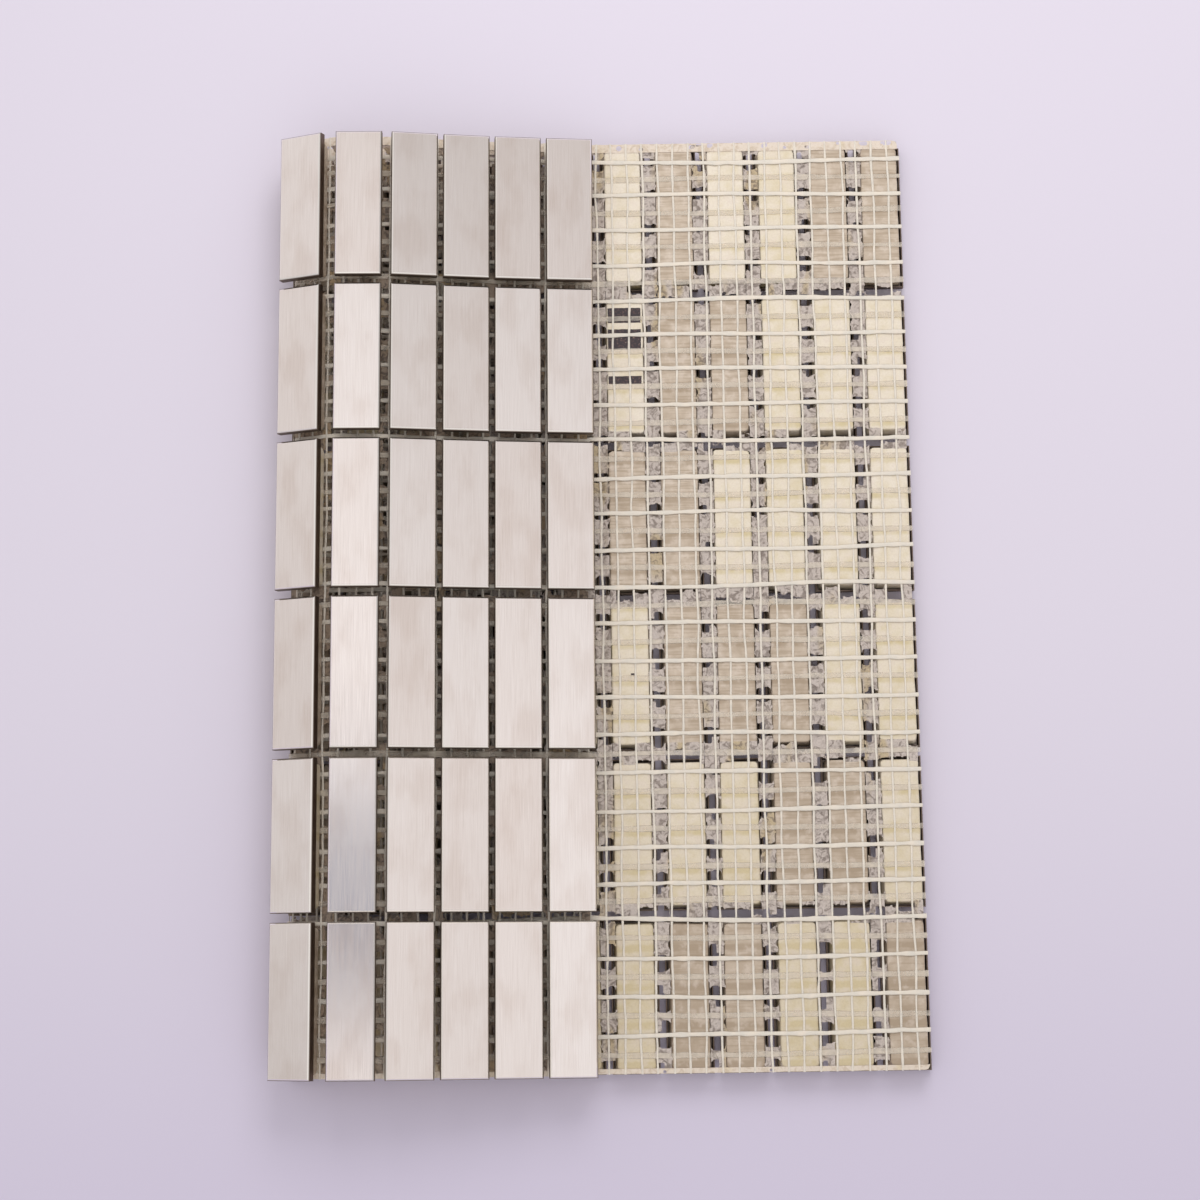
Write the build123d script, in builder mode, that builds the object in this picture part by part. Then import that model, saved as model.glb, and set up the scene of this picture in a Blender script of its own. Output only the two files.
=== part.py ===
from build123d import *
import os
from math import atan, cos, degrees, hypot, radians, sin, sqrt, tan

os.makedirs("parts", exist_ok=True)

# A sheet of mesh-mounted stainless mosaic, folded mesh to mesh. Sizes are in mm, angles in degrees.
# X runs across the columns of chips, Y along the chips, Z up. The lower layer lies on its steel faces.

# The sheet: upright chips in columns and rows, with grout joints between them
columns = 18
rows = 6
column_joint = 2.0
row_joint = 2.83

# One chip: a bent steel tray glued over a pressed ceramic block
chip_width = 15.0
chip_length = 48.0
chip_thickness = 7.8
steel_gauge = 0.4
cap_depth = 2.8
cap_bevel = 0.55
core_side_gap = 0.05
core_back_inset = 0.6
core_corner_radius = 1.2

# The glass-fibre mesh: inner wefts on the blocks, then warps along the chips, then outer wefts
inner_weft_thickness = 0.2
warp_thickness = 0.25
outer_weft_thickness = 0.3
inner_weft_width = 0.6
warp_width = 0.7
outer_weft_width = 0.95
warp_pitch = 5.08
warp_margin = 4.1
weft_pitch = 12.0
weft_shift = 3.2
mesh_side_overhang = 0.8
mesh_end_overhang = 2.4

# The fold: how far each column of the flap climbs towards the fold, from the free edge on,
# how far the flap's last blocks stand out past the lower ones, the flap's turn seen from above,
# and the clearance under the flap's free edge
flap_climbs = (5.3, 6.7, 8.9, 9.7, 0.4, -23.7)
fold_lean = 0.3
flap_turn = 0.41
flap_rest_gap = 0.1

# Sizes that follow
column_pitch = chip_width + column_joint
row_pitch = chip_length + row_joint
flap_columns = len(flap_climbs)
lower_columns = columns - flap_columns
core_height = chip_thickness - steel_gauge
inner_bevel = cap_bevel - (2 - sqrt(2)) * steel_gauge
core_inset = steel_gauge + inner_bevel + core_side_gap
core_front_width = chip_width - 2 * core_inset
core_front_length = chip_length - 2 * core_inset
core_back_width = core_front_width - 2 * core_back_inset
core_back_length = core_front_length - 2 * core_back_inset
half_joint = (column_pitch - core_back_width) / 2
mesh_thickness = inner_weft_thickness + warp_thickness + outer_weft_thickness
mesh_length = (rows - 1) * row_pitch + core_back_length + 2 * mesh_end_overhang
weft_count = int(mesh_length / weft_pitch)
slope = tan(radians(flap_turn))


def step(point, distance, climb):
    """The point (x, z) reached from point over a distance towards the fold."""
    return (point[0] - distance * cos(radians(climb)), point[1] + distance * sin(radians(climb)))


def offset_line(points, distance):
    """The line moved sideways to the mesh side, with mitred corners."""
    headings = [(b[0] - a[0], b[1] - a[1]) for a, b in zip(points, points[1:])]
    normals = [(-dz / hypot(dx, dz), dx / hypot(dx, dz)) for dx, dz in headings]
    moved = []
    for point, before, after in zip(points, normals[:1] + normals, normals + normals[-1:]):
        scale = distance / (1 + before[0] * after[0] + before[1] * after[1])
        moved.append((point[0] + scale * (before[0] + after[0]), point[1] + scale * (before[1] + after[1])))
    return moved


# The line of the blocks' backs, in X and Z, from the flap's free edge round the fold to the far edge.
# The flap's mesh rests with its free edge on the lower layer's mesh.
first_climb = flap_climbs[0]
free_edge_height = (
    chip_thickness
    + flap_rest_gap
    + mesh_thickness * (1 + cos(radians(first_climb)))
    + mesh_side_overhang * sin(radians(first_climb))
)
flap_line = [step((0.0, free_edge_height), -mesh_side_overhang, first_climb)]
edge = (0.0, free_edge_height)
for number, climb in enumerate(flap_climbs):
    is_end = number in (0, flap_columns - 1)
    edge = step(edge, column_pitch - half_joint if is_end else column_pitch, climb)
    flap_line.append(edge)
lower_left = half_joint
flap_offset = lower_left - fold_lean - flap_line[-1][0]
flap_line = [(x + flap_offset, z) for x, z in flap_line]
lower_right = lower_columns * column_pitch
lower_line = [(lower_left, chip_thickness), (lower_right - half_joint + mesh_side_overhang, chip_thickness)]

# The origin is the middle of the folded sheet's footprint, on the floor
last_climb = radians(flap_climbs[-1])
flap_left = (
    flap_line[-1][0]
    - (chip_width - core_back_width) / 2 * cos(last_climb)
    + (chip_thickness - cap_bevel) * sin(last_climb)
    - slope * ((rows - 1) * row_pitch + chip_length) / 2
)
middle = (flap_left + lower_right - column_joint / 2) / 2
flap_line = [(x - middle, z) for x, z in flap_line]
lower_line = [(x - middle, z) for x, z in lower_line]
back_line = flap_line + lower_line
flap_middle = (flap_line[0][0] + flap_line[-1][0]) / 2
fold_length = hypot(lower_line[0][0] - flap_line[-1][0], lower_line[0][1] - flap_line[-1][1])


def sheet_plane(start, end, distance, slant, mesh_side, rise=0.0):
    """A plane on the stretch from start to end: Y runs along the chips, Z to the mesh or to the steel."""
    along = Vector(end[0] - start[0], 0, end[1] - start[1]).normalized()
    chip_way = Vector(slant, 1, 0).normalized()
    normal = along.cross(chip_way).normalized()
    origin = Vector(start[0], 0, start[1]) + along * distance + normal * rise
    origin.Y -= slant * (origin.X - flap_middle)
    upward = normal if mesh_side else -normal
    return Plane(origin=origin, x_dir=chip_way.cross(upward), z_dir=upward)


# One steel tray, face up, with the bevel round its face
with BuildPart() as cap:
    with BuildSketch(Plane.XY.offset(chip_thickness - cap_depth)):
        Rectangle(chip_width, chip_length)
    extrude(amount=cap_depth)
    chamfer(cap.faces().sort_by(Axis.Z)[-1].edges(), length=cap_bevel)
    offset(amount=-steel_gauge, openings=cap.faces().sort_by(Axis.Z)[0])

# One ceramic block, its back at z = 0 and its front against the tray
with BuildPart() as core:
    with BuildSketch(Plane.XY.offset(core_height)):
        RectangleRounded(core_front_width, core_front_length, core_corner_radius)
    extrude(amount=-core_height, taper=degrees(atan(core_back_inset / core_height)))

# Each column's plane lies on the blocks' backs, with the steel faces on its upper side
column_planes = []
for number in range(flap_columns):
    start, end = flap_line[number], flap_line[number + 1]
    centre = column_pitch / 2
    if number == 0:
        centre = mesh_side_overhang + core_back_width / 2
    column_planes.append(sheet_plane(start, end, centre, slope, False))
for number in range(lower_columns):
    centre = (number + 0.5) * column_pitch - half_joint
    column_planes.append(sheet_plane(lower_line[0], lower_line[1], centre, 0.0, False))

# Steel trays and ceramic blocks, one node for each column of the sheet
for number, column_plane in enumerate(column_planes, start=1):
    with BuildPart(column_plane) as steel_caps:
        with GridLocations(0, row_pitch, 1, rows):
            add(cap.part)
    steel_caps.part.label = f"steel_caps_{number:02d}"
    export_step(steel_caps.part, f"parts/steel_caps_{number:02d}.step")

    with BuildPart(column_plane) as ceramic_cores:
        with GridLocations(0, row_pitch, 1, rows):
            add(core.part)
    ceramic_cores.part.label = f"ceramic_cores_{number:02d}"
    export_step(ceramic_cores.part, f"parts/ceramic_cores_{number:02d}.step")


def strand_lean(start, end, part_way):
    """Share of the flap's turn that a strand takes: all on the flap, none below, and between them in the fold."""
    if start in lower_line:
        return 0.0
    return 1 - part_way if end in lower_line else 1.0


# Warps: straight strands along the chips, counted from the far edge of the lower layer
stretches = list(zip(back_line, back_line[1:]))
with BuildPart() as mesh_warps:
    reach = -warp_margin
    for start, end in reversed(stretches):
        length = hypot(end[0] - start[0], end[1] - start[1])
        reach += length
        while reach > 0:
            slant = slope * strand_lean(start, end, reach / length)
            strand_plane = sheet_plane(start, end, reach, slant, True, rise=inner_weft_thickness)
            with BuildSketch(strand_plane):
                Rectangle(warp_width, mesh_length)
            reach -= warp_pitch
    extrude(amount=warp_thickness)
mesh_warps.part.label = "mesh_warps"
export_step(mesh_warps.part, "parts/mesh_warps.step")


def weft_outline(y, low, high):
    """Corner points of a weft's side view, between two distances from the blocks' backs."""
    leaning = [(x + slope * y, z) for x, z in flap_line] + lower_line
    return offset_line(leaning, low) + offset_line(leaning, high)[::-1]


outer_weft_rows = [(weft_count // 2 - number) * weft_pitch + weft_shift for number in range(weft_count)]
inner_weft_rows = [y - weft_pitch / 2 for y in outer_weft_rows]
warp_top = inner_weft_thickness + warp_thickness

# Inner wefts: strands across the chips, on the blocks
with BuildPart() as mesh_wefts_inner:
    for y in inner_weft_rows:
        with BuildSketch(Plane.XZ.offset(-y)):
            Polygon(*weft_outline(y, 0.0, inner_weft_thickness), align=None)
    extrude(amount=inner_weft_width / 2, both=True)
mesh_wefts_inner.part.label = "mesh_wefts_inner"
export_step(mesh_wefts_inner.part, "parts/mesh_wefts_inner.step")

# Outer wefts: strands across the chips, over the warps
with BuildPart() as mesh_wefts_outer:
    for y in outer_weft_rows:
        with BuildSketch(Plane.XZ.offset(-y)):
            Polygon(*weft_outline(y, warp_top, mesh_thickness), align=None)
    extrude(amount=outer_weft_width / 2, both=True)
mesh_wefts_outer.part.label = "mesh_wefts_outer"
export_step(mesh_wefts_outer.part, "parts/mesh_wefts_outer.step")

print(f"mesh round the fold: {fold_length:.2f} mm, free mesh between two blocks: {2 * half_joint:.2f} mm")
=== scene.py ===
"""Dresses a folded sheet of mesh-mounted stainless mosaic tile.

The steel trays keep their construction meshes. The ceramic blocks, the glass-fibre mesh and the glue film
are modelled here at their real places, and every surface gets a procedural finish.
"""

from __future__ import annotations

import logging
import math
from dataclasses import dataclass
from enum import Enum

import bmesh
import bpy
from mathutils import Matrix, Vector, noise


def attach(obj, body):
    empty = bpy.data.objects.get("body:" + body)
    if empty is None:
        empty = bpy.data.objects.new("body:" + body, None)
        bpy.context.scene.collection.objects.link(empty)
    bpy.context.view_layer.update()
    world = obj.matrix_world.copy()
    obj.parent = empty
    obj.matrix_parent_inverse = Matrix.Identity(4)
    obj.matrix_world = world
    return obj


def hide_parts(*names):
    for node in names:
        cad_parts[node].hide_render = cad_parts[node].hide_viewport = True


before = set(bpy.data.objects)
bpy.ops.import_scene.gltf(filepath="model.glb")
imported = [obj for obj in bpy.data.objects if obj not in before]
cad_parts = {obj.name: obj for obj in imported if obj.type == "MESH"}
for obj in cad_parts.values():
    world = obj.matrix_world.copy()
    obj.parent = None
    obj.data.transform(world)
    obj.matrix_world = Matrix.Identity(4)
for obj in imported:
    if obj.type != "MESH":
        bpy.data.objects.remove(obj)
log = logging.getLogger("tile_sheet")

MM = 0.001
BODY = "root"
Colour = tuple[float, float, float]


def srgb(red: int, green: int, blue: int) -> Colour:
    """Turn a screen colour into the linear one that shaders take.

    Args:
        red: Red, 0 to 255.
        green: Green, 0 to 255.
        blue: Blue, 0 to 255.

    Returns:
        The linear colour.
    """
    def linear(value: int) -> float:
        """One channel of the colour, made linear."""
        share = value / 255
        return share / 12.92 if share <= 0.04045 else ((share + 0.055) / 1.055) ** 2.4

    return (linear(red), linear(green), linear(blue))


def wander(*where: float) -> float:
    """Smooth noise, mostly between -1 and 1, at a place of one to three numbers."""
    x, y, z = (*where, 0.0, 0.0)[:3]
    return 1.4 * noise.noise(Vector((x, y, z)))


def chance(*key: float) -> float:
    """A fixed pseudo-random share from 0 to 1 for a key of one to three numbers."""
    x, y, z = (*key, 0.0, 0.0)[:3]
    return 0.5 + 0.5 * noise.cell(Vector((x * 7.31 + 0.5, y * 5.17 + 0.5, z * 3.73 + 0.5)))


def clamp(value: float) -> float:
    """The value, held between 0 and 1."""
    return min(1.0, max(0.0, value))


class Clay(Enum):
    """The two bodies that the ceramic blocks are pressed from."""

    CREAM = 0.0
    TAN = 1.0


class End(Enum):
    """The sheet's two ends, by the way that they lie along the chips."""

    TOP = 1
    BOTTOM = -1


@dataclass(frozen=True)
class SheetSizes:
    """Sizes of the sheet in mm, and how the flap climbs from its free edge to the fold, in degrees."""

    columns: int = 18
    rows: int = 6
    column_joint: float = 2.0
    row_joint: float = 2.83
    chip_width: float = 15.0
    chip_length: float = 48.0
    chip_thickness: float = 7.8
    steel_gauge: float = 0.4
    cap_bevel: float = 0.55
    core_side_gap: float = 0.05
    core_back_inset: float = 0.6
    mesh_thickness: float = 0.75
    mesh_side_overhang: float = 0.8
    mesh_end_overhang: float = 2.4
    climbs: tuple[float, ...] = (5.3, 6.7, 8.9, 9.7, 0.4, -23.7)
    fold_lean: float = 0.3
    flap_turn: float = 0.41
    flap_rest_gap: float = 0.1

    @property
    def flap_columns(self) -> int:
        """Number of columns on the flap."""
        return len(self.climbs)

    @property
    def first_shown(self) -> int:
        """The first column that lies beside the flap, past those that it covers."""
        return 2 * self.flap_columns

    @property
    def column_pitch(self) -> float:
        """Distance from one column of chips to the next."""
        return self.chip_width + self.column_joint

    @property
    def row_pitch(self) -> float:
        """Distance from one row of chips to the next."""
        return self.chip_length + self.row_joint

    @property
    def core_inset(self) -> float:
        """How far the block's front stands in from the tray's outside."""
        inner_bevel = self.cap_bevel - (2 - math.sqrt(2)) * self.steel_gauge
        return self.steel_gauge + inner_bevel + self.core_side_gap

    @property
    def core_front(self) -> tuple[float, float]:
        """Width and length of a block's front."""
        return self.chip_width - 2 * self.core_inset, self.chip_length - 2 * self.core_inset

    @property
    def core_back(self) -> tuple[float, float]:
        """Width and length of a block's back."""
        width, length = self.core_front
        return width - 2 * self.core_back_inset, length - 2 * self.core_back_inset

    @property
    def core_height(self) -> float:
        """Height of a block, from its back to the tray."""
        return self.chip_thickness - self.steel_gauge

    @property
    def half_joint(self) -> float:
        """Half the gap between the backs of two neighbouring blocks."""
        return (self.column_pitch - self.core_back[0]) / 2

    @property
    def mesh_length(self) -> float:
        """Length of the mesh along the chips."""
        return (self.rows - 1) * self.row_pitch + self.core_back[1] + 2 * self.mesh_end_overhang

    def row_centre(self, row: int) -> float:
        """Middle of a row of chips along Y, counted from the top of the sheet."""
        return ((self.rows - 1) / 2 - row) * self.row_pitch


@dataclass
class SheetFold:
    """The line that the blocks' backs follow: along the flap, round the fold and along the lower layer.

    A place on the sheet is given flat, as the run along the line from the flap's free edge, the height along
    the chips and the rise above the blocks' backs, all in mm, and this class folds it into the room.
    """

    sizes: SheetSizes

    def __post_init__(self) -> None:
        """Lay the line out."""
        sizes = self.sizes
        self.slope = math.tan(math.radians(sizes.flap_turn))
        flap = self._flap_line()
        fold_foot = sizes.half_joint
        shift = fold_foot - sizes.fold_lean - flap[-1].x
        flap = [Vector((point.x + shift, point.y)) for point in flap]
        far_edge = (sizes.columns - sizes.flap_columns) * sizes.column_pitch
        far_end = far_edge - sizes.half_joint + sizes.mesh_side_overhang
        foot = Vector((fold_foot, sizes.chip_thickness))
        end = Vector((far_end, sizes.chip_thickness))
        middle = (self._flap_left(flap[-1]) + far_edge - sizes.column_joint / 2) / 2
        self.points = [point - Vector((middle, 0.0)) for point in (*flap, foot, end)]
        self.flap_stretches = len(flap) - 1
        self.flap_middle = (self.points[0].x + self.points[self.flap_stretches].x) / 2
        self.ways = [(b - a).normalized() for a, b in zip(self.points, self.points[1:])]
        self.normals = [Vector((-way.y, way.x)) for way in self.ways]
        self.reach = [0.0]
        for a, b in zip(self.points, self.points[1:]):
            self.reach.append(self.reach[-1] + (b - a).length)

    def _flap_line(self) -> list[Vector]:
        """Points of the flap's line in X and Z, from its free edge to the fold.

        Returns:
            The points, one more than the flap has columns.
        """
        sizes = self.sizes
        first = math.radians(sizes.climbs[0])
        height = sizes.chip_thickness + sizes.flap_rest_gap
        height += sizes.mesh_thickness * (1 + math.cos(first)) + sizes.mesh_side_overhang * math.sin(first)
        spot = Vector((0.0, height))
        points = [spot + sizes.mesh_side_overhang * Vector((math.cos(first), -math.sin(first)))]
        for number, climb in enumerate(sizes.climbs):
            angle = math.radians(climb)
            at_end = number in (0, sizes.flap_columns - 1)
            length = sizes.column_pitch - (sizes.half_joint if at_end else 0.0)
            spot = spot + length * Vector((-math.cos(angle), math.sin(angle)))
            points.append(spot)
        return points

    def _flap_left(self, last: Vector) -> float:
        """The flap's outermost X, at the foot of the last tray's bevel.

        Args:
            last: The flap's last point at the fold, in X and Z.

        Returns:
            The place along X, in mm.
        """
        sizes = self.sizes
        angle = math.radians(sizes.climbs[-1])
        ledge = (sizes.chip_width - sizes.core_back[0]) / 2
        reach = ((sizes.rows - 1) * sizes.row_pitch + sizes.chip_length) / 2
        rise = (sizes.chip_thickness - sizes.cap_bevel) * math.sin(angle)
        return last.x - ledge * math.cos(angle) + rise - self.slope * reach

    @property
    def length(self) -> float:
        """Length of the whole line."""
        return self.reach[-1]

    @property
    def lower_start(self) -> float:
        """Run at which the lower layer begins."""
        return self.reach[-2]

    def column_run(self, column: int) -> float:
        """Run of a column's middle.

        Args:
            column: The column, from 0 at the flap's free edge.

        Returns:
            The run, in mm.
        """
        sizes = self.sizes
        half_back = sizes.core_back[0] / 2
        if column < sizes.flap_columns:
            return sizes.mesh_side_overhang + half_back + column * sizes.column_pitch
        return self.lower_start + half_back + (column - sizes.flap_columns) * sizes.column_pitch

    def stretch(self, run: float) -> int:
        """Number of the straight stretch that a run lies on.

        Args:
            run: Distance along the line, in mm.

        Returns:
            The stretch, from 0 at the free edge.
        """
        for number, reach in enumerate(self.reach[1:-1]):
            if run < reach:
                return number
        return len(self.ways) - 1

    def turn_share(self, number: int, run: float) -> float:
        """Share of the flap's turn that a place takes.

        Args:
            number: Number of the stretch.
            run: Distance along the line, in mm.

        Returns:
            1 on the flap, 0 on the lower layer, and between them in the fold.
        """
        if number < self.flap_stretches:
            return 1.0
        if number == self.flap_stretches:
            return 1 - (run - self.reach[number]) / (self.reach[number + 1] - self.reach[number])
        return 0.0

    def normal(self, number: int, run: float, ease: float = 1.2) -> Vector:
        """The way out of the sheet on its mesh side, eased over the bends.

        Args:
            number: Number of the stretch.
            run: Place along the line.
            ease: Distance from a bend within which the normal turns, in mm.

        Returns:
            A unit vector in X and Z.
        """
        here = self.normals[number]
        before, after = run - self.reach[number], self.reach[number + 1] - run
        if before < ease and number > 0:
            here = self.normals[number - 1].lerp(here, 0.5 + 0.5 * before / ease)
        elif after < ease and number < len(self.normals) - 1:
            here = self.normals[number + 1].lerp(here, 0.5 + 0.5 * after / ease)
        return here.normalized()

    def place(self, run: float, along: float, rise: float) -> Vector:
        """Fold a flat place on the sheet into the room.

        Args:
            run: Distance along the line from the flap's free edge, in mm.
            along: Distance along the chips from the sheet's middle, in mm.
            rise: Distance out from the blocks' backs on the mesh side, in mm.

        Returns:
            The place in the row frame, in metres.
        """
        number = self.stretch(run)
        spot = self.points[number] + self.ways[number] * (run - self.reach[number])
        spot = spot + self.normal(number, run) * rise
        turn = self.slope * self.turn_share(number, run)
        x = spot.x + turn * along
        return Vector((x, along - turn * (spot.x - self.flap_middle), spot.y)) * MM

    def plane(self, column: int) -> Matrix:
        """The frame of a column of chips: its origin on the blocks' backs, Y along the chips, Z to the steel.

        Args:
            column: The column, from 0 at the flap's free edge.

        Returns:
            The matrix from mm in that frame to metres in the room.
        """
        run = self.column_run(column)
        number = self.stretch(run)
        way = self.ways[number]
        along = Vector((way.x, 0.0, way.y))
        chips = Vector((self.slope * self.turn_share(number, run), 1.0, 0.0)).normalized()
        upward = -along.cross(chips).normalized()
        across = chips.cross(upward)
        axes = Matrix((across, chips, upward)).transposed().to_4x4()
        return Matrix.Translation(self.place(run, 0.0, 0.0)) @ axes @ Matrix.Scale(MM, 4)


class Graph:
    """A node tree, with short calls for the nodes that the finishes share."""

    def __init__(self, tree: bpy.types.NodeTree) -> None:
        """Work on a tree."""
        self.tree = tree

    def add(self, kind: str, **settings: object) -> bpy.types.Node:
        """Add a node of a kind and set its properties.

        Args:
            kind: The node's type.
            settings: Its properties by name.

        Returns:
            The node.
        """
        node = self.tree.nodes.new(kind)
        for name, value in settings.items():
            setattr(node, name, value)
        return node

    def feed(self, socket: bpy.types.NodeSocket, value: object) -> None:
        """Link a socket into another one, or set its value.

        Args:
            socket: The input.
            value: The socket to link, or a number, vector or colour.
        """
        if isinstance(value, bpy.types.NodeSocket):
            self.tree.links.new(value, socket)
        elif isinstance(value, tuple) and socket.type == "RGBA" and len(value) == 3:
            socket.default_value = (*value, 1.0)
        else:
            socket.default_value = value

    def places(self, stretch: tuple[float, float, float] = (1.0, 1.0, 1.0)) -> bpy.types.NodeSocket:
        """Object coordinates in mm, each axis multiplied by its share.

        Args:
            stretch: The shares.

        Returns:
            The coordinates.
        """
        mapping = self.add("ShaderNodeMapping")
        self.feed(mapping.inputs["Vector"], self.add("ShaderNodeTexCoord").outputs["Object"])
        self.feed(mapping.inputs["Scale"], tuple(share / MM for share in stretch))
        return mapping.outputs["Vector"]

    def local(self, plane: Matrix) -> bpy.types.NodeSocket:
        """Object coordinates as mm in a plane's own frame.

        Args:
            plane: The frame, from mm to metres in the room.

        Returns:
            The coordinates.
        """
        place, turn, _ = plane.inverted().decompose()
        mapping = self.add("ShaderNodeMapping")
        self.feed(mapping.inputs["Vector"], self.add("ShaderNodeTexCoord").outputs["Object"])
        self.feed(mapping.inputs["Location"], tuple(place))
        self.feed(mapping.inputs["Rotation"], tuple(turn.to_euler()))
        self.feed(mapping.inputs["Scale"], (1 / MM, 1 / MM, 1 / MM))
        return mapping.outputs["Vector"]

    def stretch(self, places: bpy.types.NodeSocket, shares: tuple[float, float, float]) -> bpy.types.NodeSocket:
        """A vector with each axis multiplied by its share.

        Args:
            places: The vector.
            shares: The shares.

        Returns:
            The product.
        """
        node = self.add("ShaderNodeVectorMath", operation="MULTIPLY")
        self.feed(node.inputs[0], places)
        self.feed(node.inputs[1], shares)
        return node.outputs[0]

    def noise(self, places: bpy.types.NodeSocket, size: float, detail: float = 3.0) -> bpy.types.NodeSocket:
        """Noise from 0 to 1 whose patches are about size mm.

        Args:
            places: Where it is read, in mm.
            size: Size of its patches.
            detail: How many finer layers it has.

        Returns:
            The noise.
        """
        node = self.add("ShaderNodeTexNoise")
        self.feed(node.inputs["Vector"], places)
        self.feed(node.inputs["Scale"], 1 / size)
        self.feed(node.inputs["Detail"], detail)
        return node.outputs["Fac"]

    def math(self, operation: str, first: object, second: object = 0.0) -> bpy.types.NodeSocket:
        """Work out a sum, product or other function.

        Args:
            operation: The node's operation.
            first: Its first input.
            second: Its second input.

        Returns:
            The result.
        """
        node = self.add("ShaderNodeMath", operation=operation)
        self.feed(node.inputs[0], first)
        self.feed(node.inputs[1], second)
        return node.outputs[0]

    def span(
        self, value: object, low: float, high: float, to: tuple[object, object] = (0.0, 1.0)
    ) -> bpy.types.NodeSocket:
        """Map a value that lies between low and high to a number between two others.

        Args:
            value: The value.
            low: Where the result is to[0].
            high: Where the result is to[1].
            to: The two numbers.

        Returns:
            The number.
        """
        node = self.add("ShaderNodeMapRange")
        self.feed(node.inputs["Value"], value)
        self.feed(node.inputs["From Min"], low)
        self.feed(node.inputs["From Max"], high)
        self.feed(node.inputs["To Min"], to[0])
        self.feed(node.inputs["To Max"], to[1])
        return node.outputs["Result"]

    def mix(self, share: object, first: object, second: object) -> bpy.types.NodeSocket:
        """A blend of two colours.

        Args:
            share: Share of the second colour.
            first: The first colour.
            second: The second colour.

        Returns:
            The colour.
        """
        node = self.add("ShaderNodeMix", data_type="RGBA")
        self.feed(node.inputs[0], share)
        self.feed(node.inputs[6], first)
        self.feed(node.inputs[7], second)
        return node.outputs[2]

    def axis(self, places: bpy.types.NodeSocket, name: str) -> bpy.types.NodeSocket:
        """One axis of a vector.

        Args:
            places: The vector.
            name: X, Y or Z.

        Returns:
            The number.
        """
        node = self.add("ShaderNodeSeparateXYZ")
        self.feed(node.inputs[0], places)
        return node.outputs[name]

    def attribute(self, name: str) -> bpy.types.NodeSocket:
        """A number stored on the mesh's vertices."""
        return self.add("ShaderNodeAttribute", attribute_name=name).outputs["Fac"]

    def smooth_span(
        self, value: object, low: float, high: float, to: tuple[float, float] = (0.0, 1.0)
    ) -> bpy.types.NodeSocket:
        """Map a value as span does, with soft ends.

        Args:
            value: The value.
            low: Where the result is to[0].
            high: Where the result is to[1].
            to: The two numbers.

        Returns:
            The number.
        """
        result = self.span(value, low, high, to)
        result.node.interpolation_type = "SMOOTHSTEP"
        return result

    def total(self, *values: object) -> bpy.types.NodeSocket:
        """The sum of some values.

        Args:
            values: Numbers or sockets.

        Returns:
            The sum.
        """
        result = values[0]
        for value in values[1:]:
            result = self.math("ADD", result, value)
        return result


class SurfaceGraph(Graph):
    """The node tree of a new material with its principled shader."""

    def __init__(self, name: str) -> None:
        """Start a material.

        Args:
            name: The material's name.
        """
        self.material = bpy.data.materials.new(name)
        self.material.use_nodes = True
        super().__init__(self.material.node_tree)
        self.shader = self.tree.nodes["Principled BSDF"]

    def bump(self, height: bpy.types.NodeSocket, depth: float, strength: float = 1.0) -> None:
        """Give the shader a relief.

        Args:
            height: The relief, 0 to 1.
            depth: Its depth, in mm.
            strength: Its strength.
        """
        node = self.add("ShaderNodeBump")
        self.feed(node.inputs["Height"], height)
        self.feed(node.inputs["Distance"], depth * MM)
        self.feed(node.inputs["Strength"], strength)
        self.feed(self.shader.inputs["Normal"], node.outputs["Normal"])

    def paint(self, **inputs: object) -> None:
        """Set the shader's inputs by name, with spaces written as underscores."""
        for name, value in inputs.items():
            self.feed(self.shader.inputs[name.replace("_", " ")], value)


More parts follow.
